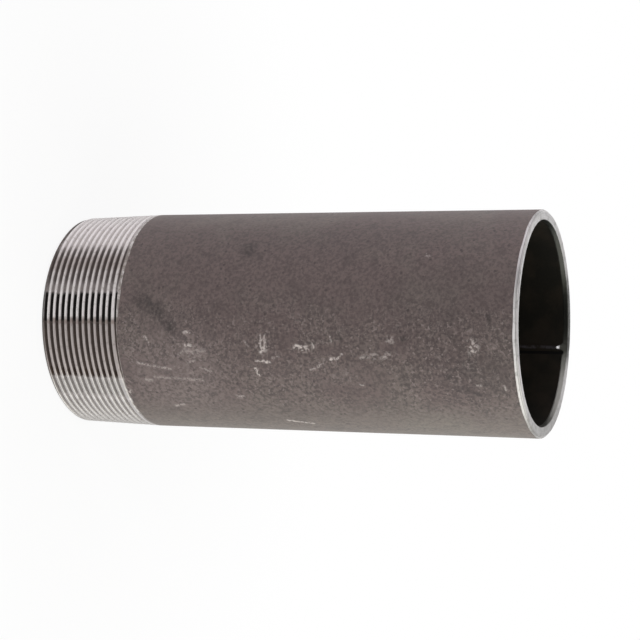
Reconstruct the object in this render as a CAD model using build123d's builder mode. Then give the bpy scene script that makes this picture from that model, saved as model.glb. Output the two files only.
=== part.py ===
from build123d import *
import os
from math import atan, cos, degrees, hypot, radians, tan

# A weld nipple: one length of longitudinally welded steel pipe. It stands on its threaded end,
# with Z along the pipe's axis and the origin at the centre of the threaded end face.
# All lengths are in millimetres and all angles in degrees.

# Pipe
pipe_diameter = 76.1
wall = 3.65
length = 170.0

# Male taper pipe thread, 55 degree form, 11 turns to the inch
pitch = 25.4 / 11
thread_reach = 30.2
taper_ratio = 16.0
flank_angle = 27.5
start_chamfer = 0.9

# Edges: a light weld bevel outside, reamed mouths inside
bevel_height = 1.3
bevel_depth = 0.85
weld_mouth_widening = 0.4
weld_mouth_angle = 15.0
thread_mouth_widening = 0.4
thread_mouth_angle = 45.0

# Bead that the pipe's own seam leaves inside, and its bearing from X
bead_height = 0.65
bead_width = 5.0
bead_bearing = 74.5

# Sizes that follow from the pipe
pipe_radius = pipe_diameter / 2
bore_radius = pipe_radius - wall
bevel_radius = pipe_radius - bevel_depth
bead_crown_radius = bore_radius - bead_height
bead_back_radius = hypot(bore_radius, bead_width / 2)

# Sizes that follow from the thread: its crests lie on a cone that meets the pipe's outside at
# thread_reach, and its grooves have the truncated form, with flats of a sixth of the pitch
taper_slope = 1 / (2 * taper_ratio)
taper_angle = degrees(atan(taper_slope))
tip_radius = pipe_radius - thread_reach * taper_slope
face_radius = tip_radius - start_chamfer
flank_slope = tan(radians(flank_angle))
thread_depth = 0.6403 * pitch
root_flat = pitch / 6
crest_flat = pitch - root_flat - 2 * thread_depth * flank_slope

# The groove is cut in whole turns. The first lies below the end face, and the last climbs out
# through the pipe's outside. The cut stands a little proud of the crests, by less than would
# make neighbouring turns meet.
groove_turns = int(thread_reach / pitch)
cut_clearance = crest_flat / 3
groove_height = thread_depth + cut_clearance
groove_mouth = root_flat + 2 * groove_height * flank_slope


def root_radius(height):
    """Radius of the thread's root at a height on the axis."""
    return tip_radius + height * taper_slope - thread_depth


def mouth_corners(face_height, inward, widening, angle):
    """Section that a reamer takes from the bore and the bead at one end of the pipe."""
    mouth_radius = bore_radius + widening
    depth = (mouth_radius - bead_crown_radius) / tan(radians(angle))
    return (
        (mouth_radius, face_height),
        (bead_crown_radius, face_height),
        (bead_crown_radius, face_height + inward * depth),
    )


with BuildPart() as weld_nipple:
    # Pipe wall, turned down to the cone of the thread's crests and bevelled at the weld end
    with BuildSketch(Plane.YZ):
        with BuildLine():
            Polyline(
                (bore_radius, 0),
                (face_radius, 0),
                (tip_radius + start_chamfer * taper_slope, start_chamfer),
                (pipe_radius, thread_reach),
                (pipe_radius, length - bevel_height),
                (bevel_radius, length),
                (bore_radius, length),
                close=True,
            )
        make_face()
    revolve(axis=Axis.Z)

    # Seam bead along the whole bore, its section a low arc backed by the wall
    with BuildSketch(Plane.XY.rotated((0, 0, bead_bearing))):
        with BuildLine():
            ThreePointArc(
                (bore_radius, -bead_width / 2), (bead_crown_radius, 0), (bore_radius, bead_width / 2)
            )
            Polyline(
                (bore_radius, bead_width / 2),
                (bead_back_radius, bead_width / 2),
                (bead_back_radius, -bead_width / 2),
                (bore_radius, -bead_width / 2),
            )
        make_face()
    extrude(amount=length)

    # Reamed mouths at the threaded end and the weld end
    for corners in (
        mouth_corners(0, 1, thread_mouth_widening, thread_mouth_angle),
        mouth_corners(length, -1, weld_mouth_widening, weld_mouth_angle),
    ):
        with BuildSketch(Plane.YZ):
            with BuildLine():
                Polyline(*corners, close=True)
            make_face()
        revolve(axis=Axis.Z, mode=Mode.SUBTRACT)

    # Section of the thread groove, one pitch below the end face
    with BuildSketch(Plane.XZ) as groove_section:
        with BuildLine():
            Polyline(
                (root_radius(-pitch), -pitch - root_flat / 2),
                (root_radius(-pitch), -pitch + root_flat / 2),
                (root_radius(-pitch) + groove_height, -pitch + groove_mouth / 2),
                (root_radius(-pitch) + groove_height, -pitch - groove_mouth / 2),
                close=True,
            )
        make_face()
    groove_end = groove_section.sketch.face()

    # Thread groove, one turn at a time along a right-hand conical helix. Each turn starts from
    # the face that the turn before it ended on, so that they join without a step.
    for turn in range(groove_turns):
        turn_foot = (turn - 1) * pitch
        with BuildLine() as turn_path:
            Helix(
                pitch=pitch / cos(radians(taper_angle)),
                height=pitch,
                radius=root_radius(turn_foot),
                center=(0, 0, turn_foot),
                cone_angle=taper_angle,
            )
        groove_turn = sweep(groove_end, turn_path.line, is_frenet=True, mode=Mode.SUBTRACT)
        groove_end = groove_turn.faces().filter_by(GeomType.PLANE).sort_by(Axis.Z)[-1]

    # Last turn, on a steeper cone, where the groove runs out through the pipe's outside
    runout_foot = (groove_turns - 1) * pitch
    runout_climb = pipe_radius + cut_clearance - root_radius(runout_foot)
    runout_angle = degrees(atan(runout_climb / pitch))
    with BuildLine() as runout_path:
        Helix(
            pitch=pitch / cos(radians(runout_angle)),
            height=pitch,
            radius=root_radius(runout_foot),
            center=(0, 0, runout_foot),
            cone_angle=runout_angle,
        )
    sweep(groove_end, runout_path.line, is_frenet=True, mode=Mode.SUBTRACT)

os.makedirs("parts", exist_ok=True)
weld_nipple.part.label = "weld_nipple"
export_step(weld_nipple.part, "parts/weld_nipple.step")
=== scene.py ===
"""Looks of a weld nipple: black welded pipe with a cut taper thread and a bevelled weld end.

The nipple stands on its threaded end, with Z along its axis, and the camera lies on its side as
the photograph does. All lengths are in metres unless a name says otherwise.
"""

import logging
import math
from dataclasses import dataclass, field
from enum import Enum
from typing import Any, ClassVar, Sequence, Union

import bpy
import numpy as np
from mathutils import Matrix, Vector


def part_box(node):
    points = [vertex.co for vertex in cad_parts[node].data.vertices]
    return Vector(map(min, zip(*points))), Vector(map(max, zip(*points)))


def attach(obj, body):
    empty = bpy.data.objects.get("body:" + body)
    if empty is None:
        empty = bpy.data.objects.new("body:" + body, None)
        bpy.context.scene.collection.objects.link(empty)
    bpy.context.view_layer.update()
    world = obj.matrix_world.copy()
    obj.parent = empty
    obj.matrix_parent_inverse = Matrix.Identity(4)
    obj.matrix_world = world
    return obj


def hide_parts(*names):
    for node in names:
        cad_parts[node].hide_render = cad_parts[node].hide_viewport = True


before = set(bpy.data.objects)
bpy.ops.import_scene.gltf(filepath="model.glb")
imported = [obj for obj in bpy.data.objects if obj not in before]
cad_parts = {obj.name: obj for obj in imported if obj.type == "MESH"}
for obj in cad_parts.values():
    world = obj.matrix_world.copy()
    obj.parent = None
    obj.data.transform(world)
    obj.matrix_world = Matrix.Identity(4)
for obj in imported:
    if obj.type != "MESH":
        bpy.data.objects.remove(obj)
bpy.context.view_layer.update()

MM = 0.001
FULL_TURN = 2 * math.pi
SEED = 1412
BODY = "root"
NODE = "weld_nipple"

log = logging.getLogger("weld_nipple")

Colour = tuple[float, float, float, float]
Operand = Union["Number", float, int]


def colour(red: float, green: float, blue: float) -> Colour:
    """An opaque colour in linear light."""
    return (red, green, blue, 1.0)


class Zone(Enum):
    """Parts of the surface, in the order of their material slots."""

    OUTSIDE = 0
    EDGE = 1
    BORE = 2


class Number:
    """A number socket that takes part in Python sums and adds its Math nodes."""

    def __init__(self, graph: "ShaderGraph", socket: bpy.types.NodeSocket) -> None:
        """Keeps the socket and the graph that it belongs to."""
        self.graph = graph
        self.socket = socket

    def _sum(self, operation: str, first: Operand, second: Operand = 0.0) -> "Number":
        """Adds one Math node.

        Args:
            operation: Blender's name for the sum.
            first: The left operand.
            second: The right operand.

        Returns:
            The node's result.
        """
        node = self.graph.node("ShaderNodeMath", {"operation": operation}, {0: first, 1: second})
        return Number(self.graph, node.outputs[0])

    def __add__(self, other: Operand) -> "Number":
        """This plus the other."""
        return self._sum("ADD", self, other)

    def __radd__(self, other: Operand) -> "Number":
        """The other plus this."""
        return self._sum("ADD", other, self)

    def __sub__(self, other: Operand) -> "Number":
        """This minus the other."""
        return self._sum("SUBTRACT", self, other)

    def __rsub__(self, other: Operand) -> "Number":
        """The other minus this."""
        return self._sum("SUBTRACT", other, self)

    def __mul__(self, other: Operand) -> "Number":
        """This times the other."""
        return self._sum("MULTIPLY", self, other)

    def __rmul__(self, other: Operand) -> "Number":
        """The other times this."""
        return self._sum("MULTIPLY", other, self)

    def __truediv__(self, other: Operand) -> "Number":
        """This divided by the other."""
        return self._sum("DIVIDE", self, other)

    def __pow__(self, other: Operand) -> "Number":
        """This to the power of the other."""
        return self._sum("POWER", self, other)

    def __abs__(self) -> "Number":
        """This without its sign."""
        return self._sum("ABSOLUTE", self)

    def larger(self, other: Operand) -> "Number":
        """The larger of this and the other."""
        return self._sum("MAXIMUM", self, other)

    def cosine(self) -> "Number":
        """Cosine of this angle."""
        return self._sum("COSINE", self)

    def angle_from(self, other: "Number") -> "Number":
        """Angle whose tangent is this over the other."""
        return self._sum("ARCTAN2", self, other)

    def rise(self, start: float, end: float) -> "Number":
        """A soft step.

        Args:
            start: Value of this at which the step gives 0.
            end: Value of this at which it gives 1, which may be below start.

        Returns:
            The step, from 0 to 1.
        """
        low, high = (start, end) if start < end else (end, start)
        outcome = (0.0, 1.0) if start < end else (1.0, 0.0)
        node = self.graph.node(
            "ShaderNodeMapRange",
            {"interpolation_type": "SMOOTHSTEP"},
            {"Value": self, "From Min": low, "From Max": high, "To Min": outcome[0], "To Max": outcome[1]},
        )
        return Number(self.graph, node.outputs[0])

    def band(self, start: float, end: float, soft: float) -> "Number":
        """A soft plateau.

        Args:
            start: Where it has risen half way.
            end: Where it has fallen half way.
            soft: Half the width of its rise and of its fall.

        Returns:
            1 between start and end, and 0 away from them.
        """
        return self.rise(start - soft, start + soft) * self.rise(end + soft, end - soft)


Source = Union[Number, bpy.types.NodeSocket, float, Colour, Vector, tuple[float, float, float]]


class ShaderGraph:
    """One material's node tree, with short ways to add nodes."""

    MIX_FACTOR = 0
    MIX_FIRST = 6
    MIX_SECOND = 7
    MIX_RESULT = 2

    def __init__(self, name: str) -> None:
        """Makes an empty material of that name."""
        self.material = bpy.data.materials.new(name)
        self.material.use_nodes = True
        self.tree = self.material.node_tree
        self.tree.nodes.clear()

    def node(
        self,
        kind: str,
        settings: dict[str, Any] | None = None,
        inputs: dict[str | int, Source] | None = None,
    ) -> bpy.types.ShaderNode:
        """Adds one node.

        Args:
            kind: Blender's name for the node's type.
            settings: The node's own settings, which are set first.
            inputs: Values or links for its sockets, by name or number.

        Returns:
            The new node.
        """
        node = self.tree.nodes.new(kind)
        for key, value in (settings or {}).items():
            setattr(node, key, value)
        for key, value in (inputs or {}).items():
            source = value.socket if isinstance(value, Number) else value
            if isinstance(source, bpy.types.NodeSocket):
                self.tree.links.new(source, node.inputs[key])
            else:
                node.inputs[key].default_value = source
        return node

    def place_mm(self) -> bpy.types.NodeSocket:
        """Place on the object, in millimetres."""
        object_place = self.node("ShaderNodeTexCoord").outputs["Object"]
        return self.stretch(object_place, (1 / MM, 1 / MM, 1 / MM))

    def vector_sum(self, operation: str, first: Source, second: Source) -> bpy.types.NodeSocket:
        """Adds one Vector Math node and gives its result."""
        return self.node("ShaderNodeVectorMath", {"operation": operation}, {0: first, 1: second}).outputs[0]

    def stretch(self, vector: Source, factors: Source) -> bpy.types.NodeSocket:
        """A vector with each of its parts multiplied."""
        return self.vector_sum("MULTIPLY", vector, factors)

    def shift(self, vector: Source, other: Source) -> bpy.types.NodeSocket:
        """The sum of two vectors."""
        return self.vector_sum("ADD", vector, other)

    def size_of(self, vector: bpy.types.NodeSocket) -> Number:
        """Length of a vector."""
        node = self.node("ShaderNodeVectorMath", {"operation": "LENGTH"}, {0: vector})
        return Number(self, node.outputs["Value"])

    def join(self, x: Source, y: Source, z: Source) -> bpy.types.NodeSocket:
        """A vector made of three numbers."""
        return self.node("ShaderNodeCombineXYZ", {}, {0: x, 1: y, 2: z}).outputs[0]

    def parts(self, vector: bpy.types.NodeSocket) -> tuple[Number, Number, Number]:
        """The three numbers of a vector."""
        node = self.node("ShaderNodeSeparateXYZ", {}, {0: vector})
        return Number(self, node.outputs[0]), Number(self, node.outputs[1]), Number(self, node.outputs[2])

    def noise(
        self, place: bpy.types.NodeSocket, grain_mm: float, detail: float = 3.0, roughness: float = 0.55
    ) -> Number:
        """Soft random variation.

        Args:
            place: Where on the surface, in millimetres.
            grain_mm: Size of its largest features.
            detail: How many finer layers it adds.
            roughness: How strong the finer layers are.

        Returns:
            A number about 0.5.
        """
        values = {"Vector": place, "Scale": 1 / grain_mm, "Detail": detail, "Roughness": roughness}
        return Number(self, self.node("ShaderNodeTexNoise", {}, values).outputs[0])

    def specks(self, place: bpy.types.NodeSocket, spacing_mm: float) -> Number:
        """Distance to the nearest of many scattered points, over their spacing."""
        values = {"Vector": place, "Scale": 1 / spacing_mm, "Randomness": 1.0}
        return Number(self, self.node("ShaderNodeTexVoronoi", {}, values).outputs["Distance"])

    def mixed(self, first: Source, second: Source, factor: Source) -> bpy.types.NodeSocket:
        """Two colours mixed.

        Args:
            first: Colour where the factor is 0.
            second: Colour where the factor is 1.
            factor: How much of the second.

        Returns:
            The mixed colour.
        """
        sockets = {self.MIX_FACTOR: factor, self.MIX_FIRST: first, self.MIX_SECOND: second}
        return self.node("ShaderNodeMix", {"data_type": "RGBA"}, sockets).outputs[self.MIX_RESULT]

    def bump(self, height: Number, depth_mm: float) -> bpy.types.NodeSocket:
        """A surface direction tilted by small relief."""
        values = {"Height": height, "Distance": depth_mm * MM, "Strength": 1.0}
        return self.node("ShaderNodeBump", {}, values).outputs[0]

    def surface(self, **sockets: Source) -> bpy.types.ShaderNode:
        """Adds the main shader.

        Args:
            **sockets: Its sockets, by their names with underscores for spaces.

        Returns:
            The shader node.
        """
        named = {key.replace("_", " "): value for key, value in sockets.items()}
        return self.node("ShaderNodeBsdfPrincipled", {}, named)

    def finish(self, shader: bpy.types.NodeSocket) -> bpy.types.Material:
        """Connects the shader to the output and gives the material."""
        self.node("ShaderNodeOutputMaterial", {}, {"Surface": shader})
        return self.material


@dataclass(frozen=True)
class Pixel:
    """A place in the photograph, in its own pixels."""

    x: float
    y: float


@dataclass(frozen=True)
class SurfacePoint:
    """A place on the pipe's outside, in millimetres."""

    height: float
    arc: float


@dataclass
class NippleSizes:
    """Sizes of the nipple, worked out from the frame and the pipe's own standard."""

    low: Vector
    high: Vector
    wall: float = 3.65 * MM
    pitch: float = 25.4 / 11 * MM
    thread_reach: float = 30.2 * MM
    taper_slope: float = 1 / 32
    flank_angle: float = math.radians(27.5)
    cut_depth: float = 1.3 * MM
    root_flat: float = 0.3 * MM
    start_chamfer: float = 0.9 * MM
    bevel_height: float = 1.3 * MM
    bevel_depth: float = 0.85 * MM
    mouth_widening: float = 0.4 * MM
    bore_offset: float = 0.25 * MM
    thick_wall_bearing: float = math.radians(-30)
    face_dish: float = math.tan(math.radians(5))
    weld_mouth_slope: float = math.tan(math.radians(15))
    thread_mouth_slope: float = 1.0
    bead_height: float = 0.65 * MM
    bead_bearing: float = math.radians(74.5)

    @property
    def pipe_radius(self) -> float:
        """Outside radius of the pipe."""
        return self.high.x

    @property
    def length(self) -> float:
        """Length from the threaded end face to the weld end face."""
        return self.high.z - self.low.z

    @property
    def bore_radius(self) -> float:
        """Inside radius of the pipe."""
        return self.pipe_radius - self.wall

    @property
    def mouth_radius(self) -> float:
        """Radius of the reamed mouths at the end faces."""
        return self.bore_radius + self.mouth_widening

    @property
    def tip_radius(self) -> float:
        """Radius of the crest cone at the threaded end face."""
        return self.pipe_radius - self.thread_reach * self.taper_slope

    @property
    def full_turns(self) -> int:
        """Turns of the groove before it runs out."""
        return int(self.thread_reach / self.pitch) - 1


@dataclass
class Ripple:
    """Slow unevenness around and along the pipe, as a sum of waves with a fixed seed."""

    seed: int
    waves: int
    most_around: int
    shortest_along: float
    turns: np.ndarray = field(init=False)
    rates: np.ndarray = field(init=False)
    phases: np.ndarray = field(init=False)

    def __post_init__(self) -> None:
        """Draws the waves."""
        draw = np.random.default_rng(self.seed)
        self.turns = draw.integers(0, self.most_around + 1, self.waves)
        self.rates = draw.uniform(-1, 1, self.waves) * FULL_TURN / self.shortest_along
        self.phases = draw.uniform(0, FULL_TURN, self.waves)

    def at(self, angle: np.ndarray, height: np.ndarray | float) -> np.ndarray:
        """Unevenness at places on the pipe.

        Args:
            angle: Angles from +X toward +Y.
            height: Heights along the axis.

        Returns:
            Values from about -1 to 1.
        """
        total = np.zeros_like(angle)
        for turn, rate, phase in zip(self.turns, self.rates, self.phases):
            total = total + np.cos(turn * angle + rate * height + phase)
        return total / math.sqrt(self.waves * 2)


@dataclass
class NippleShape:
    """The nipple's one closed skin, as rings of points from the threaded end round and back."""

    sizes: NippleSizes
    thread_step: float = 0.12 * MM
    body_step: float = 2.5 * MM
    bore_step: float = 4.2 * MM
    seam_columns: int = 26
    plain_columns: int = 204
    seam_half_angle: float = math.radians(6)
    crest_softness: float = 0.4
    edge_rounding: float = 0.09 * MM
    edge_margin: float = 1.2 * MM
    edge_unevenness: float = 0.10 * MM
    edge_skew: float = 0.25 * MM
    turned_notch: float = 0.68
    notch_half_share: float = 0.05
    notch_depth: float = 0.05 * MM
    scarf_depth: float = 0.16 * MM
    scarf_half_angle: float = 0.3
    dent_depth: float = 0.03 * MM
    runout_power: float = 3.0
    runout_clearance: float = 0.2 * MM
    mouth_rings: int = 18
    thread_mouth_rings: int = 7
    corner_gap: float = 0.05 * MM
    weld_mouth_margin: float = 1.3 * MM
    thread_mouth_margin: float = 1.0 * MM
    bead_crown: float = 0.75 * MM
    bead_wander: float = 0.2 * MM
    bead_unevenness: float = 0.12
    bead_fullness: float = 0.8
    bead_steep_side: float = 1.3 * MM
    bead_gentle_side: float = 1.75 * MM
    channel_offset: float = -1.7 * MM
    channel_half_width: float = 0.6 * MM
    channel_depth: float = 0.13 * MM
    nick_depth: float = 0.40 * MM
    nick_half_width: float = 0.8 * MM

    def __post_init__(self) -> None:
        """Lays out the columns and draws the unevenness."""
        sizes = self.sizes
        start = sizes.bead_bearing - self.seam_half_angle
        end = sizes.bead_bearing + self.seam_half_angle
        seam = np.linspace(start, end, self.seam_columns, endpoint=False)
        plain = np.linspace(end, start + FULL_TURN, self.plain_columns, endpoint=False)
        self.angles = np.concatenate([seam, plain])
        self.body_waves = Ripple(SEED, waves=14, most_around=9, shortest_along=60 * MM)
        self.edge_waves = Ripple(SEED + 1, waves=10, most_around=24, shortest_along=1.0)
        self.bead_waves = Ripple(SEED + 2, waves=12, most_around=0, shortest_along=9 * MM)
        self.rings: list[tuple[np.ndarray, np.ndarray]] = []
        self.zones: list[Zone] = []

    def groove_form(self, offset: np.ndarray) -> np.ndarray:
        """Height of the 55 degree form above its root, with blunt crests and softened corners.

        Args:
            offset: Distance along the axis from the groove's centre, up to half a pitch.

        Returns:
            Height above the root.
        """
        sizes = self.sizes
        flank_run = sizes.cut_depth * math.tan(sizes.flank_angle)
        share = np.clip((np.abs(offset) - sizes.root_flat / 2) / flank_run, 0, 1)
        softened = share * share * (3 - 2 * share)
        return sizes.cut_depth * (share + (softened - share) * self.crest_softness)

    def seam_angle(self, angle: np.ndarray) -> np.ndarray:
        """Angle from the pipe's seam, from -pi to pi."""
        return (angle - self.sizes.bead_bearing + math.pi) % FULL_TURN - math.pi

    def plain_radius(self, height: np.ndarray | float) -> np.ndarray:
        """Radius of the pipe's outside before the thread is cut.

        Args:
            height: Height along the axis.

        Returns:
            One radius for each column.
        """
        sizes = self.sizes
        angle = self.angles
        waves = 0.5 + 0.5 * np.clip(self.body_waves.at(angle, height), -1, 1)
        off_seam = self.seam_angle(angle)
        reach = self.scarf_half_angle
        flat = (sizes.pipe_radius - self.scarf_depth) / np.cos(np.clip(off_seam, -reach, reach))
        dented = sizes.pipe_radius - self.dent_depth * waves
        return np.minimum(dented, flat)

    def outside_radius(self, height: np.ndarray | float) -> np.ndarray:
        """Radius of the finished outside, thread included.

        Args:
            height: Height along the axis.

        Returns:
            One radius for each column.
        """
        sizes = self.sizes
        height = np.broadcast_to(np.asarray(height, float), self.angles.shape)
        crest = sizes.tip_radius + sizes.taper_slope * height
        skin = np.minimum(crest, self.plain_radius(height))
        turns = height / sizes.pitch - (self.angles % FULL_TURN) / FULL_TURN
        offset = (turns - np.round(turns)) * sizes.pitch
        centre = height - offset
        runout = centre / sizes.pitch - sizes.full_turns
        climb = np.clip(runout, 0, 1) ** self.runout_power * (sizes.cut_depth + self.runout_clearance)
        climb = np.where(runout > 1, sizes.pipe_radius, climb)
        threaded = crest - sizes.cut_depth + self.groove_form(offset) + climb
        chamfered = sizes.tip_radius - sizes.start_chamfer + height
        return np.minimum(np.minimum(threaded, skin), chamfered)

    def bore_line(self, height: np.ndarray | float) -> np.ndarray:
        """Radius of the bore, with the seam's bead standing in it.

        Args:
            height: Height along the axis.

        Returns:
            One radius for each column.
        """
        sizes = self.sizes
        waves = self.bead_waves.at(self.angles, height)
        across = self.seam_angle(self.angles) * sizes.bore_radius - self.bead_crown - self.bead_wander * waves
        side = np.where(across < 0, self.bead_steep_side, self.bead_gentle_side)
        share = np.clip(across / side, -1, 1)
        crown = (0.5 + 0.5 * np.cos(math.pi * share)) ** self.bead_fullness
        crown = sizes.bead_height * (1 - self.bead_unevenness * (1 + waves)) * crown
        off_channel = (across - self.channel_offset) / self.channel_half_width
        channel = self.channel_depth * np.exp(-off_channel**2)
        return sizes.bore_radius - self.eccentric() - crown + channel

    def ring(self, radius: np.ndarray | float, height: np.ndarray | float, zone: Zone) -> None:
        """Adds one ring of points.

        Args:
            radius: One radius for each column, or one for all.
            height: Heights in the same way.
            zone: Zone of the faces between this ring and the next.
        """
        radius = np.broadcast_to(np.asarray(radius, float), self.angles.shape)
        height = np.broadcast_to(np.asarray(height, float), self.angles.shape)
        self.rings.append((radius, height))
        self.zones.append(zone)

    def outside_rings(self) -> None:
        """Adds the thread, the plain pipe and the weld bevel."""
        sizes = self.sizes
        thread_top = sizes.thread_reach + self.edge_margin
        for height in np.arange(0, thread_top, self.thread_step):
            self.ring(self.outside_radius(height), height, Zone.OUTSIDE)
        body_top = sizes.length - sizes.bevel_height - self.edge_margin
        steps = round((body_top - thread_top) / self.body_step)
        for height in np.linspace(thread_top, body_top, steps):
            self.ring(self.outside_radius(height), height, Zone.OUTSIDE)
        uneven = self.edge_unevenness * self.edge_waves.at(self.angles, 0)
        skewed = self.edge_skew * (1 + np.cos(2 * self.angles))
        edge = sizes.length - sizes.bevel_height + uneven + skewed
        edge_radius = self.plain_radius(edge)
        round_off = self.edge_rounding
        for below in (4 * round_off, 2 * round_off, round_off):
            self.ring(self.plain_radius(edge - below), edge - below, Zone.OUTSIDE)
        self.bevel_rings(edge, edge_radius)

    def bevel_rings(self, edge: np.ndarray, edge_radius: np.ndarray) -> None:
        """Adds the weld bevel and the end face.

        Args:
            edge: Height at which the bevel starts, for each column.
            edge_radius: Radius of the pipe there, for each column.
        """
        sizes = self.sizes
        round_off = self.edge_rounding
        off_seam = self.seam_angle(self.angles) * sizes.pipe_radius
        nick = self.nick_depth * np.exp(-((off_seam / self.nick_half_width) ** 2))
        top_radius = sizes.pipe_radius - sizes.bevel_depth - nick
        depth = edge_radius - top_radius
        rise = sizes.length - edge
        slant = np.hypot(depth, rise)
        notch = self.turned_notch
        beside = self.notch_half_share
        shares = [round_off / slant, 3 * round_off / slant, 0.35, notch - beside, notch, notch + beside]
        for share in shares + [1 - 3 * round_off / slant, 1 - round_off / slant]:
            sunk = self.notch_depth * (np.abs(share - notch) < beside / 2)
            self.ring(edge_radius - depth * share - sunk, edge + rise * share, Zone.EDGE)
        mouth = self.mouth_line()
        land = top_radius - mouth
        for share in (0.6 * round_off / land, 3 * round_off / land, 0.35, 0.65, 1 - 3 * round_off / land):
            dished = sizes.length - land * share * sizes.face_dish
            self.ring(top_radius - land * share, dished, Zone.EDGE)
        self.ring(mouth + 0.6 * round_off, self.face_height() - 0.2 * round_off, Zone.EDGE)

    def eccentric(self) -> np.ndarray:
        """How much thicker than its least the wall is, because the bore is a little off centre."""
        return self.sizes.bore_offset * (1 + np.cos(self.angles - self.sizes.thick_wall_bearing))

    def mouth_line(self) -> np.ndarray:
        """Radius of the reamed mouth."""
        return self.sizes.mouth_radius - self.eccentric()

    def face_height(self) -> np.ndarray:
        """Height of the dished weld end face at its mouth."""
        sizes = self.sizes
        land = sizes.pipe_radius - sizes.bevel_depth - self.mouth_line()
        return sizes.length - land * sizes.face_dish

    def inside_rings(self) -> None:
        """Adds the reamed mouths and the bore between them."""
        sizes = self.sizes
        weld_cut = (sizes.mouth_radius - sizes.bore_radius + sizes.bead_height) / sizes.weld_mouth_slope
        thread_cut = (sizes.mouth_radius - sizes.bore_radius + sizes.bead_height) / sizes.thread_mouth_slope
        face = self.face_height()
        for depth in np.linspace(self.corner_gap, weld_cut + 2 * self.corner_gap, self.mouth_rings):
            height = face - depth
            cone = self.mouth_line() - depth * sizes.weld_mouth_slope
            self.ring(np.maximum(self.bore_line(height), cone), height, Zone.BORE)
        top = sizes.length - weld_cut - self.weld_mouth_margin
        bottom = thread_cut + self.thread_mouth_margin
        for height in np.linspace(top, bottom, round((top - bottom) / self.bore_step)):
            self.ring(self.bore_line(height), height, Zone.BORE)
        for height in np.linspace(thread_cut + 2 * self.corner_gap, self.corner_gap, self.thread_mouth_rings):
            cone = self.mouth_line() - height * sizes.thread_mouth_slope
            self.ring(np.maximum(self.bore_line(height), cone), height, Zone.BORE)

    def foot_rings(self) -> None:
        """Adds the threaded end face, which closes the skin."""
        sizes = self.sizes
        outer = self.outside_radius(0.0)
        round_off = self.edge_rounding
        self.ring(self.mouth_line() + 0.6 * round_off, 0.0, Zone.EDGE)
        self.ring(self.mouth_line() + 3 * round_off, 0.0, Zone.EDGE)
        self.ring(outer - 3 * round_off, 0.0, Zone.EDGE)

    def build(self) -> bpy.types.Object:
        """Builds the closed mesh.

        Returns:
            The nipple's object, with one material slot to fill for each zone.
        """
        self.outside_rings()
        self.inside_rings()
        self.foot_rings()
        columns = len(self.angles)
        count = len(self.rings)
        x, y = np.cos(self.angles), np.sin(self.angles)
        points = [np.stack([radius * x, radius * y, height], axis=1) for radius, height in self.rings]
        numbers = np.arange(count * columns).reshape(count, columns)
        beside = np.roll(numbers, -1, axis=1)
        rings = [numbers, beside, np.roll(beside, -1, axis=0), np.roll(numbers, -1, axis=0)]
        corners = np.stack(rings, axis=-1).reshape(-1, len(rings))
        mesh = bpy.data.meshes.new("weld_nipple_skin")
        mesh.from_pydata(np.concatenate(points).tolist(), [], corners.tolist())
        mesh.polygons.foreach_set("material_index", np.repeat([zone.value for zone in self.zones], columns))
        mesh.polygons.foreach_set("use_smooth", [True] * len(mesh.polygons))
        mesh.update()
        nipple = bpy.data.objects.new("weld_nipple_skin", mesh)
        bpy.context.scene.collection.objects.link(nipple)
        return nipple


@dataclass(frozen=True)
class PhotoCamera:
    """The photograph's camera, found from the nipple's outline; turn and dip are in radians."""

    image_pixels: int = 640
    focal_pixels: float = 1700.73
    sensor_mm: float = 36.0
    axis_turn: float = 0.369
    axis_dip: float = 0.0091
    mouth_right_mm: float = 74.814
    mouth_down_mm: float = 1.356
    mouth_away_mm: float = 564.736

    def axes(self) -> Matrix:
        """The frame's X, Y and Z as columns, in the camera's right, down and away."""
        along = Vector(
            (
                math.cos(self.axis_dip) * math.cos(self.axis_turn),
                math.sin(self.axis_dip),
                -math.cos(self.axis_dip) * math.sin(self.axis_turn),
            )
        )
        down = Vector((0, 1, 0))
        side = (down - along * down.dot(along)).normalized()
        back = along.cross(side)
        return Matrix((side, back, along)).transposed()

    def place(self, length: float) -> Vector:
        """The camera's place in the frame.

        Args:
            length: The nipple's length.

        Returns:
            The place, in metres.
        """
        mouth = Vector((self.mouth_right_mm, self.mouth_down_mm, self.mouth_away_mm)) * MM
        foot = mouth - self.axes().col[2] * length
        return -(self.axes().transposed() @ foot)

    def build(self, length: float) -> bpy.types.Object:
        """Makes the camera and gives it to the scene.

        Args:
            length: The nipple's length.

        Returns:
            The camera's object.
        """
        data = bpy.data.cameras.new("photo_camera")
        data.sensor_width = self.sensor_mm
        data.lens = self.focal_pixels / self.image_pixels * self.sensor_mm
        data.clip_start = 0.01
        data.clip_end = 20
        camera = bpy.data.objects.new("photo_camera", data)
        turn = self.axes().transposed()
        view = turn @ Matrix(((1, 0, 0), (0, -1, 0), (0, 0, -1)))
        camera.matrix_world = Matrix.Translation(self.place(length)) @ view.to_4x4()
        bpy.context.scene.collection.objects.link(camera)
        bpy.context.scene.camera = camera
        return camera

    def on_pipe(self, pixel: Pixel, sizes: NippleSizes) -> SurfacePoint:
        """The place on the pipe's near side that a pixel shows.

        Args:
            pixel: The pixel.
            sizes: The nipple's sizes.

        Returns:
            Its height and its arc from the near side toward +X.
        """
        centre = self.image_pixels / 2
        look = Vector(((pixel.x - centre) / self.focal_pixels, (pixel.y - centre) / self.focal_pixels, 1))
        look = self.axes().transposed() @ look
        start = self.place(sizes.length)
        square = look.x**2 + look.y**2
        half = start.x * look.x + start.y * look.y
        rest = start.x**2 + start.y**2 - sizes.pipe_radius**2
        distance = (-half - math.sqrt(max(half**2 - square * rest, 0))) / square
        hit = start + look * distance
        arc = math.atan2(hit.x, -hit.y) * sizes.pipe_radius
        return SurfacePoint(hit.z / MM, arc / MM)


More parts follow.
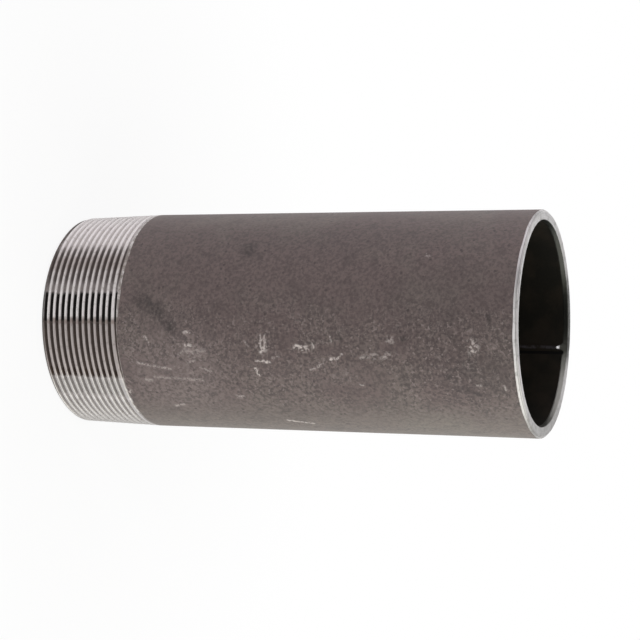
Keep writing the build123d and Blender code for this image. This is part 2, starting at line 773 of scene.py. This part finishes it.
@dataclass(frozen=True)
class Scratch:
    """A pale scratch through the scale between two pixels of the photograph, out to its faint rim."""

    start: Pixel
    end: Pixel
    half_width_mm: float
    strength: float


@dataclass(frozen=True)
class Patch:
    """A soft patch of the scale about a pixel of the photograph, leaning by an angle in radians."""

    centre: Pixel
    half_length_mm: float
    half_breadth_mm: float
    strength: float
    lean: float = 0.0


@dataclass
class PipeMap:
    """Height and arc on the pipe as shader numbers, with masks for marks at known places."""

    NOWHERE: ClassVar[tuple[float, float, float]] = (0.0, 0.0, 0.0)
    PATCH_CORE: ClassVar[float] = 0.2

    graph: ShaderGraph
    sizes: NippleSizes
    camera: PhotoCamera

    def __post_init__(self) -> None:
        """Unrolls the pipe."""
        graph = self.graph
        self.place = graph.place_mm()
        self.x, self.y, self.height = graph.parts(self.place)
        self.radius = (self.x * self.x + self.y * self.y) ** 0.5
        self.bearing = self.x.angle_from(self.y * -1)
        self.arc = self.bearing * (self.sizes.pipe_radius / MM)
        self.flat = graph.join(self.height, self.arc, 0.0)

    def wavering(self, amount_mm: float, grain_mm: float) -> bpy.types.NodeSocket:
        """The unrolled place, shaken a little so that edges and lines waver."""
        graph = self.graph
        shake_along = (graph.noise(self.place, grain_mm) - 0.5) * amount_mm
        elsewhere = graph.shift(self.place, (31.0, 17.0, 5.0))
        shake_across = (graph.noise(elsewhere, grain_mm) - 0.5) * amount_mm
        return graph.shift(self.flat, graph.join(shake_along, shake_across, 0.0))

    def local(self, flat: Source, middle: SurfacePoint, lean: float) -> bpy.types.NodeSocket:
        """The unrolled place measured from a mark's middle and along its own direction."""
        values = {"Vector": flat, "Location": (middle.height, middle.arc, 0.0), "Rotation": (0.0, 0.0, lean)}
        return self.graph.node("ShaderNodeMapping", {"vector_type": "TEXTURE"}, values).outputs[0]

    def scratch(self, flat: Source, mark: Scratch) -> Number:
        """Mask of one scratch.

        Args:
            flat: The unrolled place.
            mark: The scratch.

        Returns:
            Its strength inside the scratch, and 0 away from it.
        """
        graph = self.graph
        start = self.camera.on_pipe(mark.start, self.sizes)
        end = self.camera.on_pipe(mark.end, self.sizes)
        along = end.height - start.height
        across = end.arc - start.arc
        middle = SurfacePoint(start.height + along / 2, start.arc + across / 2)
        local = self.local(flat, middle, math.atan2(across, along))
        size = graph.vector_sum("ABSOLUTE", local, self.NOWHERE)
        beyond = graph.shift(size, (-math.hypot(along, across) / 2, 0.0, 0.0))
        away = graph.size_of(graph.vector_sum("MAXIMUM", beyond, self.NOWHERE))
        return away.rise(mark.half_width_mm, 0.0) * mark.strength

    def patch(self, flat: Source, mark: Patch) -> Number:
        """Mask of one soft patch.

        Args:
            flat: The unrolled place.
            mark: The patch.

        Returns:
            Its strength in the middle, falling to 0 at its rim.
        """
        graph = self.graph
        local = self.local(flat, self.camera.on_pipe(mark.centre, self.sizes), mark.lean)
        scaled = graph.stretch(local, (1 / mark.half_length_mm, 1 / mark.half_breadth_mm, 1.0))
        return graph.size_of(scaled).rise(1.0, self.PATCH_CORE) * mark.strength

    def patches(self, flat: Source, marks: Sequence[Patch]) -> Number:
        """Mask of several soft patches."""
        return strongest([self.patch(flat, mark) for mark in marks])


def strongest(masks: Sequence[Number]) -> Number:
    """The largest of several masks."""
    total = masks[0]
    for mask in masks[1:]:
        total = total.larger(mask)
    return total


@dataclass
class Layer:
    """What one finish gives to the shader that mixes it with another."""

    colour: bpy.types.NodeSocket
    roughness: Number
    metal: Number
    relief: Number


@dataclass(frozen=True)
class MillScale:
    """Dark mill scale as the pipe mill leaves it, with scuffs from handling on its near side, painted lighter
    olive toward +X as bounce light and darker in patches as painted shade.
    """

    brown: Colour = colour(0.125, 0.088, 0.085)
    olive: Colour = colour(0.185, 0.163, 0.140)
    dark: Colour = colour(0.032, 0.024, 0.024)
    pale: Colour = colour(0.225, 0.178, 0.170)
    bare: Colour = colour(0.68, 0.61, 0.58)
    cloud_mm: float = 24.0
    rubbed_mm: float = 12.0
    blotch_mm: float = 5.0
    fold_mm: float = 3.4
    pit_spacing_mm: float = 2.6
    grain_mm: float = 1.15
    grit_mm: float = 1.1
    rubbed_bearing: float = 0.35
    folded_bearing: float = 0.22
    plain_roughness: float = 0.54
    scratches: tuple[Scratch, ...] = (
        Scratch(Pixel(262.4, 361.2), Pixel(268.8, 362.4), 0.81, 1.0),
        Scratch(Pixel(255.5, 360.8), Pixel(270.0, 362.4), 0.57, 0.69),
        Scratch(Pixel(256.0, 368.6), Pixel(259.0, 375.6), 0.78, 1.0),
        Scratch(Pixel(260.5, 351.8), Pixel(265.2, 346.8), 0.97, 1.0),
        Scratch(Pixel(259.8, 334.8), Pixel(260.8, 350.0), 0.47, 0.60),
        Scratch(Pixel(264.6, 334.2), Pixel(264.2, 352.0), 0.47, 0.60),
        Scratch(Pixel(272.0, 358.2), Pixel(279.0, 356.6), 0.65, 0.34),
        Scratch(Pixel(244.0, 341.2), Pixel(248.0, 346.0), 0.65, 0.40),
        Scratch(Pixel(293.6, 347.8), Pixel(296.2, 345.0), 0.65, 0.85),
        Scratch(Pixel(296.2, 345.0), Pixel(301.6, 347.6), 0.75, 1.0),
        Scratch(Pixel(301.6, 347.6), Pixel(306.4, 346.2), 0.70, 0.90),
        Scratch(Pixel(312.0, 344.4), Pixel(313.6, 347.6), 0.70, 0.80),
        Scratch(Pixel(330.4, 359.3), Pixel(337.9, 358.2), 0.78, 1.0),
        Scratch(Pixel(337.9, 358.2), Pixel(341.6, 354.0), 0.60, 0.80),
        Scratch(Pixel(329.6, 336.4), Pixel(331.2, 341.2), 0.60, 0.50),
        Scratch(Pixel(310.4, 370.0), Pixel(323.2, 364.4), 0.65, 0.44),
        Scratch(Pixel(360.8, 358.0), Pixel(369.0, 357.2), 0.81, 0.44),
        Scratch(Pixel(380.8, 358.0), Pixel(386.4, 356.4), 0.81, 0.50),
        Scratch(Pixel(386.4, 353.2), Pixel(392.0, 355.6), 0.65, 0.34),
        Scratch(Pixel(360.0, 384.4), Pixel(364.0, 385.2), 0.60, 0.40),
        Scratch(Pixel(288.4, 420.2), Pixel(313.7, 423.4), 0.94, 0.72),
        Scratch(Pixel(137.4, 362.6), Pixel(170.2, 369.0), 0.81, 0.46),
        Scratch(Pixel(155.0, 376.8), Pixel(203.8, 380.4), 0.94, 0.28),
        Scratch(Pixel(183.8, 351.4), Pixel(204.6, 351.4), 0.94, 0.30),
        Scratch(Pixel(179.0, 354.6), Pixel(185.4, 349.0), 0.94, 0.30),
        Scratch(Pixel(187.8, 362.6), Pixel(195.0, 361.0), 0.78, 0.28),
        Scratch(Pixel(200.6, 367.4), Pixel(211.0, 371.4), 0.73, 0.32),
        Scratch(Pixel(185.4, 345.3), Pixel(191.0, 345.3), 0.81, 0.80),
        Scratch(Pixel(183.8, 332.2), Pixel(189.0, 332.2), 0.81, 0.75),
        Scratch(Pixel(144.6, 337.0), Pixel(147.8, 341.8), 0.81, 0.60),
        Scratch(Pixel(146.2, 379.4), Pixel(151.8, 380.2), 0.94, 0.38),
        Scratch(Pixel(175.8, 405.8), Pixel(183.8, 404.2), 0.94, 0.42),
        Scratch(Pixel(469.5, 350.0), Pixel(472.6, 351.2), 0.94, 0.85),
        Scratch(Pixel(473.0, 341.0), Pixel(474.6, 346.0), 0.70, 0.60),
        Scratch(Pixel(475.9, 385.6), Pixel(480.9, 385.8), 0.70, 0.50),
        Scratch(Pixel(504.0, 386.0), Pixel(506.0, 390.0), 0.70, 0.44),
    )
    scuffs: tuple[Patch, ...] = (
        Patch(Pixel(262, 345), 3.2, 4.4, 0.8),
        Patch(Pixel(303, 348), 4.6, 2.2, 0.7),
        Patch(Pixel(380, 356), 10.0, 2.2, 0.36),
        Patch(Pixel(473, 347), 3.2, 4.0, 0.7),
        Patch(Pixel(240, 396), 2.6, 1.6, 0.5),
        Patch(Pixel(194, 352), 6.0, 3.4, 0.35),
        Patch(Pixel(390, 340), 2.2, 2.2, 0.5),
        Patch(Pixel(428, 255), 1.6, 1.6, 0.4),
        Patch(Pixel(129, 391), 1.6, 2.6, 0.7),
    )
    worn: tuple[Patch, ...] = (
        Patch(Pixel(176, 370), 32.0, 25.0, 0.70),
        Patch(Pixel(300, 374), 38.0, 10.0, 0.22),
    )
    # Patches of painted shade: the scale is painted darker there to stand in for shade.
    dull_tone_and_painted_shade: tuple[Patch, ...] = (
        Patch(Pixel(484, 372), 28.0, 13.0, 0.35, 0.1),
        Patch(Pixel(340, 236), 95.0, 11.0, 0.20),
        Patch(Pixel(452, 306), 36.0, 26.0, 0.20),
    )
    stains: tuple[Patch, ...] = (
        Patch(Pixel(143, 301), 6.0, 4.2, 0.62, 0.5),
        Patch(Pixel(156, 311), 7.5, 4.2, 0.66, 0.8),
        Patch(Pixel(169, 326), 6.0, 4.0, 0.72, 0.8),
        Patch(Pixel(249, 250), 4.4, 5.2, 0.62),
        Patch(Pixel(180.6, 358.6), 1.0, 1.2, 0.8),
        Patch(Pixel(404, 338.5), 2.2, 1.1, 1.0, 0.45),
        Patch(Pixel(488, 319), 1.0, 2.6, 0.8),
        Patch(Pixel(467.5, 391), 1.6, 0.9, 1.0, 0.3),
        Patch(Pixel(468, 391), 9.0, 1.6, 0.6, 0.32),
    )

    def layer(self, graph: ShaderGraph, pipe: PipeMap) -> Layer:
        """Adds the scale's nodes.

        Args:
            graph: The material that gets them.
            pipe: Places on the pipe.

        Returns:
            The scale's colour, roughness, metal share and relief.
        """
        # Painted bounce light: the scale turns lighter olive toward +X, the side lit from below; the rest of
        # the brown to olive change is random tone.
        low = (pipe.x / pipe.radius).rise(0.55, 0.95)
        clouds = graph.noise(pipe.place, self.cloud_mm).rise(0.42, 0.72) * 0.35 + low * 0.65
        base = graph.mixed(self.brown, self.olive, clouds)
        wavering = pipe.wavering(2.4, 3.0)
        base = graph.mixed(base, self.pale, pipe.patches(wavering, self.worn))
        # Painted shade: darker patches of scale in place of shade.
        base = graph.mixed(base, self.dark, pipe.patches(wavering, self.dull_tone_and_painted_shade))
        grain = graph.noise(pipe.place, self.grain_mm, 3, 0.62).rise(0.37, 0.63)
        blotch = graph.noise(pipe.place, self.blotch_mm, 3, 0.6)
        rubbed = (pipe.bearing - self.rubbed_bearing).cosine().rise(0.80, 0.97)
        rubbed = rubbed * graph.noise(pipe.place, self.rubbed_mm).rise(0.36, 0.58)
        contrast = 0.6 + rubbed * 0.35
        base = graph.mixed(base, self.dark, (1 - grain) * contrast * 0.6)
        base = graph.mixed(base, self.pale, grain * contrast * 0.27)
        base = graph.mixed(base, self.dark, blotch.rise(0.50, 0.28) * 0.3)
        pits = graph.specks(pipe.place, self.pit_spacing_mm).rise(0.24, 0.12)
        base = graph.mixed(base, self.dark, pits * blotch.rise(0.44, 0.58) * 0.6)
        grit = graph.noise(graph.shift(pipe.place, (40.0, 9.0, 3.0)), self.grit_mm, 2, 0.6)
        base = graph.mixed(base, self.pale, grit.rise(0.57, 0.68) * (0.15 + rubbed * 0.75))
        folds = graph.noise(graph.shift(pipe.place, (3.0, 8.0, 21.0)), self.fold_mm, 2, 0.5) - 0.5
        curled = (pipe.bearing - self.folded_bearing).cosine().rise(0.90, 0.99)
        curled = curled * blotch.rise(0.44, 0.60) * (0.4 + grain * 0.6)
        base = graph.mixed(base, self.dark, abs(folds).rise(0.050, 0.0) * curled * 0.50)
        base = graph.mixed(base, self.bare, abs(folds - 0.060).rise(0.045, 0.0) * curled * 0.10)
        stain = pipe.patches(wavering, self.stains)
        base = graph.mixed(base, self.dark, stain * (1.05 - grain * 0.5))
        shaken = pipe.wavering(1.1, 1.6)
        scuff = pipe.patches(shaken, self.scuffs)
        scuff = scuff * graph.noise(pipe.place, 1.0, 2, 0.6).rise(0.48, 0.62) * 0.85
        scratch = strongest([pipe.scratch(shaken, mark) for mark in self.scratches])
        scratch = scratch * graph.noise(pipe.place, 0.8, 2, 0.6).rise(0.36, 0.56)
        bare = scuff.larger(scratch)
        return Layer(
            colour=graph.mixed(base, self.bare, bare),
            roughness=self.plain_roughness + grain * 0.08 - bare * 0.12,
            metal=bare * 0.6,
            relief=grain * 0.04 + blotch * 0.10,
        )


@dataclass(frozen=True)
class OilAndPaintedShadeBand:
    """Cutting oil and dirt, together with painted dark reflection, along one stretch of the thread, by
    bearing in radians.
    """

    start: float
    end: float
    in_grooves: float
    on_crests: float
    soft: float = 0.025


@dataclass(frozen=True)
class CutThread:
    """Steel that the die has cut bright, with cutting oil and dirt left in the grooves, and bands by bearing
    where grooves and crests are painted darker as dark reflection.
    """

    steel: Colour = colour(0.725, 0.69, 0.685)
    crest_film_and_painted_shade: Colour = colour(0.155, 0.102, 0.082)
    haze_and_painted_shade: Colour = colour(0.16, 0.155, 0.14)
    black: Colour = colour(0.006, 0.004, 0.003)
    brown: Colour = colour(0.048, 0.029, 0.022)
    rust: Colour = colour(0.085, 0.055, 0.040)
    torn: Colour = colour(0.20, 0.17, 0.155)
    last_turn_mm: float = 29.5
    plain_roughness: float = 0.40
    # Bands by bearing paint grooves and crests darker, partly as cutting oil and dirt and partly as painted
    # dark reflection; in the black band the grooves are painted near black.
    black_band: OilAndPaintedShadeBand = OilAndPaintedShadeBand(-0.265, 0.025, 1.0, 0.06)
    bands: tuple[OilAndPaintedShadeBand, ...] = (
        OilAndPaintedShadeBand(-0.75, -0.34, 0.74, 0.32, 0.08),
        OilAndPaintedShadeBand(-0.66, -0.46, 0.0, 0.62, 0.06),
        OilAndPaintedShadeBand(-0.35, -0.265, 0.30, 0.20),
        OilAndPaintedShadeBand(-0.02, 0.05, 0.0, 0.86),
        OilAndPaintedShadeBand(0.02, 0.525, 0.88, 0.58),
        OilAndPaintedShadeBand(0.46, 0.565, 1.0, 0.55),
        OilAndPaintedShadeBand(0.565, 0.80, 0.12, 0.46),
        OilAndPaintedShadeBand(0.80, 1.60, 0.06, 0.42, 0.08),
        OilAndPaintedShadeBand(2.1, 3.0, 0.7, 0.3, 0.3),
        OilAndPaintedShadeBand(-3.0, -2.3, 0.6, 0.25, 0.3),
    )

    def layer(self, graph: ShaderGraph, pipe: PipeMap, sizes: NippleSizes) -> Layer:
        """Adds the thread's nodes.

        Args:
            graph: The material that gets them.
            pipe: Places on the pipe.
            sizes: The nipple's sizes.

        Returns:
            The thread's colour, roughness, metal share and relief.
        """
        crest = pipe.height * sizes.taper_slope + sizes.tip_radius / MM
        depth = crest - pipe.radius
        uneven = (graph.noise(pipe.place, 2.0) - 0.5) * 0.3
        groove = (depth + uneven).rise(0.22, 0.50)
        bearing = pipe.bearing + uneven * 0.22
        bands = (*self.bands, self.black_band)
        masks = [bearing.band(band.start, band.end, band.soft) for band in bands]
        black = masks[-1]
        in_grooves = strongest([mask * band.in_grooves for mask, band in zip(masks, bands)])
        on_crests = strongest([mask * band.on_crests for mask, band in zip(masks, bands)])
        # Grooves get oil and dirt, and inside the bands they also get painted dark reflection.
        soiled_and_painted_shade = groove * in_grooves.larger(0.05)
        soiled_and_painted_shade = soiled_and_painted_shade.larger((pipe.height + uneven).rise(1.25, 0.85) * 0.85)
        ruddy = graph.noise(pipe.place, 5.0).rise(0.46, 0.68) * 0.55
        soil_and_painted_shade_colour = graph.mixed(graph.mixed(self.brown, self.rust, ruddy), self.black, black)
        crest_film_and_painted_shade = graph.mixed(self.crest_film_and_painted_shade, self.haze_and_painted_shade, bearing.rise(0.50, 0.62))
        # Inside the bands the crests are painted darker as dark reflection, over a thin oil film.
        clean = graph.mixed(self.steel, crest_film_and_painted_shade, on_crests * (0.85 + uneven))
        last = (pipe.height + uneven).rise(self.last_turn_mm - 0.2, self.last_turn_mm + 0.2)
        last = last * graph.noise(pipe.place, 1.6).rise(0.30, 0.60)
        clean = graph.mixed(clean, self.torn, last * 0.8)
        nicks = graph.noise(graph.shift(pipe.place, (7.0, 3.0, 11.0)), 1.3, 3, 0.6)
        clean = graph.mixed(clean, self.torn, nicks.rise(0.54, 0.70) * 0.35)
        turns = graph.join(pipe.radius * 9, pipe.arc * 0.05, pipe.height * 9)
        return Layer(
            colour=graph.mixed(clean, soil_and_painted_shade_colour, soiled_and_painted_shade),
            roughness=self.plain_roughness + soiled_and_painted_shade * 0.2,
            metal=1 - soiled_and_painted_shade * 0.85,
            relief=graph.noise(turns, 1.0, 2) * 0.010,
        )


@dataclass(frozen=True)
class OutsideFinish:
    """Mill scale on the pipe, cut away where the thread is."""

    scale: MillScale = MillScale()
    thread: CutThread = CutThread()

    def build(self, sizes: NippleSizes, camera: PhotoCamera) -> bpy.types.Material:
        """Builds the material.

        Args:
            sizes: The nipple's sizes.
            camera: The photograph's camera, which places the marks.

        Returns:
            The material.
        """
        graph = ShaderGraph("scale_and_cut_thread")
        pipe = PipeMap(graph, sizes, camera)
        cut = self.cut_mask(graph, pipe, sizes)
        kept = 1 - cut
        scale = self.scale.layer(graph, pipe)
        thread = self.thread.layer(graph, pipe, sizes)
        shader = graph.surface(
            Base_Color=graph.mixed(scale.colour, thread.colour, cut),
            Roughness=scale.roughness * kept + thread.roughness * cut,
            Metallic=scale.metal * kept + thread.metal * cut,
            Normal=graph.bump(scale.relief * kept + thread.relief * cut, 1.0),
        )
        return graph.finish(shader.outputs[0])

    def cut_mask(self, graph: ShaderGraph, pipe: PipeMap, sizes: NippleSizes) -> Number:
        """Where the die has cut the scale away, with a crisp and slightly uneven edge."""
        wander = (graph.noise(pipe.place, 12.0, 2) - 0.5) * 0.7
        fine = (graph.noise(pipe.place, 1.0) - 0.5) * 0.35
        bulge = (pipe.bearing + 0.42).cosine().rise(0.86, 1.0) * 0.6
        edge = pipe.height + wander + fine - bulge
        reach = sizes.thread_reach / MM
        return edge.rise(reach + 0.12, reach - 0.02)


@dataclass(frozen=True)
class MachinedFinish:
    """Bright turned steel of the weld bevel and both end faces, with painted shade on the weld end above the
    seam.
    """

    steel: Colour = colour(0.62, 0.60, 0.60)
    dull_tone_and_painted_shade: Colour = colour(0.29, 0.28, 0.27)
    grime_and_painted_shade: Colour = colour(0.055, 0.055, 0.05)
    notch_mm: float = 37.46
    weld_end_mm: tuple[float, float] = (160.0, 165.0)
    plain_roughness: float = 0.38

    def build(self) -> bpy.types.Material:
        """Builds the material."""
        graph = ShaderGraph("turned_steel")
        place = graph.place_mm()
        x, y, height = graph.parts(place)
        radius = (x * x + y * y) ** 0.5
        rings = graph.noise(graph.join(radius * 7, height * 7, x.angle_from(y) * 1.5), 1.0, 3, 0.6)
        spots = graph.noise(place, 2.2, 4, 0.6)
        base = graph.mixed(self.steel, self.dull_tone_and_painted_shade, rings.rise(0.35, 0.7) * 0.5)
        base = graph.mixed(base, self.dull_tone_and_painted_shade, spots.rise(0.5, 0.7) * 0.7)
        weld_end = height.rise(*self.weld_end_mm)
        low = (x / radius).rise(0.55, 0.95) * weld_end
        base = graph.mixed(base, self.dull_tone_and_painted_shade, low * (0.3 + spots * 0.7))
        line = radius.band(self.notch_mm - 0.07, self.notch_mm + 0.07, 0.05) * weld_end
        base = graph.mixed(base, self.grime_and_painted_shade, line * 0.45)
        # Painted shade: the weld end above the seam is painted darker as a dark reflection.
        painted_shade_above_seam = (y / radius).rise(0.82, 0.97) * (x / radius).rise(0.50, 0.27)
        base = graph.mixed(base, self.grime_and_painted_shade, painted_shade_above_seam * weld_end * (0.7 + spots * 0.5))
        shader = graph.surface(
            Base_Color=base,
            Metallic=1.0,
            Roughness=self.plain_roughness + (spots - 0.5) * 0.3,
            Normal=graph.bump(rings, 0.03),
        )
        return graph.finish(shader.outputs[0])


@dataclass(frozen=True)
class BoreFinish:
    """Dark scale in the bore, reamed bright at the two mouths, with painted shade on the reamed steel toward
    -X and above the seam, a painted shadow in the channel beside the bead and a painted glint on the bead's
    reamed end.
    """

    scale: Colour = colour(0.0075, 0.0065, 0.0045)
    scale_warm: Colour = colour(0.016, 0.012, 0.008)
    bead: Colour = colour(0.05, 0.045, 0.05)
    # Near-black colour painted as the shadow in the channel beside the bead.
    channel: Colour = colour(0.0015, 0.0012, 0.001)
    reamed: Colour = colour(0.24, 0.24, 0.22)
    painted_shade_reamed: Colour = colour(0.06, 0.06, 0.055)
    grime_and_painted_shade: Colour = colour(0.03, 0.03, 0.026)
    reamed_bead_and_painted_glint: Colour = colour(0.75, 0.74, 0.74)
    scale_roughness: float = 0.62
    reamed_roughness: float = 0.32

    def build(self, sizes: NippleSizes) -> bpy.types.Material:
        """Builds the material.

        Args:
            sizes: The nipple's sizes.

        Returns:
            The material.
        """
        graph = ShaderGraph("bore_scale")
        place = graph.place_mm()
        x, y, height = graph.parts(place)
        radius = (x * x + y * y) ** 0.5
        toward_thick = x * math.cos(sizes.thick_wall_bearing) + y * math.sin(sizes.thick_wall_bearing)
        eccentric = (1 + toward_thick / radius) * (sizes.bore_offset / MM)
        mouth = sizes.mouth_radius / MM - eccentric
        land = (sizes.pipe_radius - sizes.bevel_depth) / MM - mouth
        face = sizes.length / MM - land * sizes.face_dish
        weld_cone = mouth - (face - height) * sizes.weld_mouth_slope
        thread_cone = mouth - height * sizes.thread_mouth_slope
        reamed = (radius - weld_cone.larger(thread_cone)).rise(0.06, 0.03)
        clouds = graph.noise(place, 9.0, 4).rise(0.4, 0.7)
        fine = graph.noise(place, 1.1)
        scale = graph.mixed(self.scale, self.scale_warm, clouds)
        outward = radius + eccentric - sizes.bore_radius / MM
        scale = graph.mixed(scale, self.bead, outward.rise(-0.3, -0.6) * fine.rise(0.35, 0.65))
        # Painted shadow: the channel beside the bead is painted near black.
        scale = graph.mixed(scale, self.channel, outward.rise(0.02, 0.07))
        # Painted shade: the reamed steel is painted darker toward -X, in place of a dark reflection.
        steel = graph.mixed(self.painted_shade_reamed, self.reamed, (x / radius).rise(-0.1, 0.5))
        # Painted shade: the reamed steel above the seam is painted darker as a dark reflection.
        painted_shade_above_seam = (y / radius).rise(0.80, 0.95) * (x / radius).rise(0.45, 0.25)
        steel = graph.mixed(steel, self.grime_and_painted_shade, painted_shade_above_seam)
        # The bead's reamed end is bright cut steel with a painted glint on it.
        steel = graph.mixed(steel, self.reamed_bead_and_painted_glint, outward.rise(-0.22, -0.48))
        base = graph.mixed(scale, steel, reamed)
        shader = graph.surface(
            Base_Color=base,
            Metallic=reamed,
            Roughness=self.scale_roughness - reamed * (self.scale_roughness - self.reamed_roughness),
            Specular_IOR_Level=0.15,
            Normal=graph.bump(fine, 0.06),
        )
        return graph.finish(shader.outputs[0])


@dataclass
class WeldNipple:
    """The nipple itself."""

    sizes: NippleSizes
    camera: PhotoCamera

    def build(self) -> bpy.types.Object:
        """Builds the skin, dresses it and ties it to the frame.

        Returns:
            The nipple's object.
        """
        skin = NippleShape(self.sizes).build()
        skin.data.materials.append(OutsideFinish().build(self.sizes, self.camera))
        skin.data.materials.append(MachinedFinish().build())
        skin.data.materials.append(BoreFinish().build(self.sizes))
        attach(skin, BODY)
        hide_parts(NODE)
        return skin


@dataclass(frozen=True)
class SoftBox:
    """One soft studio light that faces the nipple."""

    name: str
    place: tuple[float, float, float]
    width: float
    height: float
    power: float
    tint: tuple[float, float, float] = (1.0, 1.0, 1.0)

    def build(self, target: Vector) -> bpy.types.Object:
        """Hangs the light.

        Args:
            target: Where it points.

        Returns:
            The light's object.
        """
        data = bpy.data.lights.new(self.name, "AREA")
        data.shape = "RECTANGLE"
        data.size = self.width
        data.size_y = self.height
        data.energy = self.power
        data.color = self.tint
        lamp = bpy.data.objects.new(self.name, data)
        lamp.location = self.place
        lamp.rotation_euler = (target - Vector(self.place)).to_track_quat("-Z", "Y").to_euler()
        bpy.context.scene.collection.objects.link(lamp)
        return lamp


@dataclass
class Studio:
    """A pale floor, soft boxes and plain surrounding light."""

    floor_half: float = 6.0
    floor_colour: Colour = colour(0.93, 0.93, 0.93)
    surround: Colour = colour(0.50, 0.50, 0.50)
    surround_strength: float = 0.30
    glow_by_the_nipple: float = 0.88
    shadow_mm: tuple[float, float] = (50.0, 260.0)
    near_side_mm: tuple[float, float] = (60.0, 110.0)
    near_side_dimming: float = 0.85
    boxes: tuple[SoftBox, ...] = (
        SoftBox("upper_box", (-0.75, 0.05, 0.35), 1.1, 1.1, 3.9, (1.0, 0.96, 1.0)),
        SoftBox("lower_box", (0.70, -0.05, 0.30), 1.3, 1.3, 8.6, (0.99, 1.0, 0.94)),
        SoftBox("front_box", (0.10, -0.55, 0.95), 0.8, 0.8, 2.3),
        SoftBox("strip_box", (-0.42, -0.72, 0.45), 0.14, 0.7, 1.1),
        SoftBox("back_box", (0.0, 1.2, 0.33), 1.6, 0.48, 2.5),
        SoftBox("rear_box", (0.0, 0.9, 0.9), 1.8, 0.5, 2.8),
    )

    def floor(self) -> bpy.types.Object:
        """Lays the floor, which shows white and keeps a soft shadow near the nipple."""
        half = self.floor_half
        mesh = bpy.data.meshes.new("studio_floor")
        corners = [(-half, -half, 0), (half, -half, 0), (half, half, 0), (-half, half, 0)]
        mesh.from_pydata(corners, [], [(0, 1, 2, 3)])
        floor = bpy.data.objects.new("studio_floor", mesh)
        bpy.context.scene.collection.objects.link(floor)
        graph = ShaderGraph("studio_paper")
        path = graph.node("ShaderNodeLightPath")
        direct = Number(graph, path.outputs["Is Camera Ray"])
        glossy = Number(graph, path.outputs["Is Glossy Ray"])
        through = Number(graph, path.outputs["Is Transmission Ray"])
        x, y, _ = graph.parts(graph.place_mm())
        near_side = (y * -1).rise(*self.near_side_mm) * self.near_side_dimming
        seen = direct.larger(glossy.larger(through) * (1 - near_side))
        away = (x * x + y * y) ** 0.5
        least = self.glow_by_the_nipple
        share = away.rise(*self.shadow_mm) * (1 - least) + least
        paper = graph.node("ShaderNodeBsdfDiffuse", {}, {"Color": self.floor_colour})
        glow = graph.node("ShaderNodeEmission", {}, {"Color": colour(1, 1, 1), "Strength": 1.0})
        sockets = {0: seen * share, 1: paper.outputs[0], 2: glow.outputs[0]}
        mix = graph.node("ShaderNodeMixShader", {}, sockets)
        mesh.materials.append(graph.finish(mix.outputs[0]))
        return floor

    def world(self) -> None:
        """Sets the plain light that comes from all around."""
        world = bpy.data.worlds.new("studio_world")
        world.use_nodes = True
        background = world.node_tree.nodes["Background"]
        background.inputs["Color"].default_value = self.surround
        background.inputs["Strength"].default_value = self.surround_strength
        bpy.context.scene.world = world

    def build(self, target: Vector) -> None:
        """Sets up the studio.

        Args:
            target: Where the lights point.
        """
        self.floor()
        self.world()
        for box in self.boxes:
            box.build(target)
            log.info("light %s", box.name)


def main() -> None:
    """Builds the nipple, the studio and the camera."""
    logging.basicConfig(level=logging.INFO, format="%(name)s: %(message)s")
    bpy.context.scene.view_settings.view_transform = "Standard"
    sizes = NippleSizes(*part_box(NODE))
    camera = PhotoCamera()
    camera.build(sizes.length)
    nipple = WeldNipple(sizes, camera).build()
    log.info("%s has %d faces", nipple.name, len(nipple.data.polygons))
    Studio().build(Vector((0, 0, sizes.length / 2)))


if __name__ == "__main__":
    main()
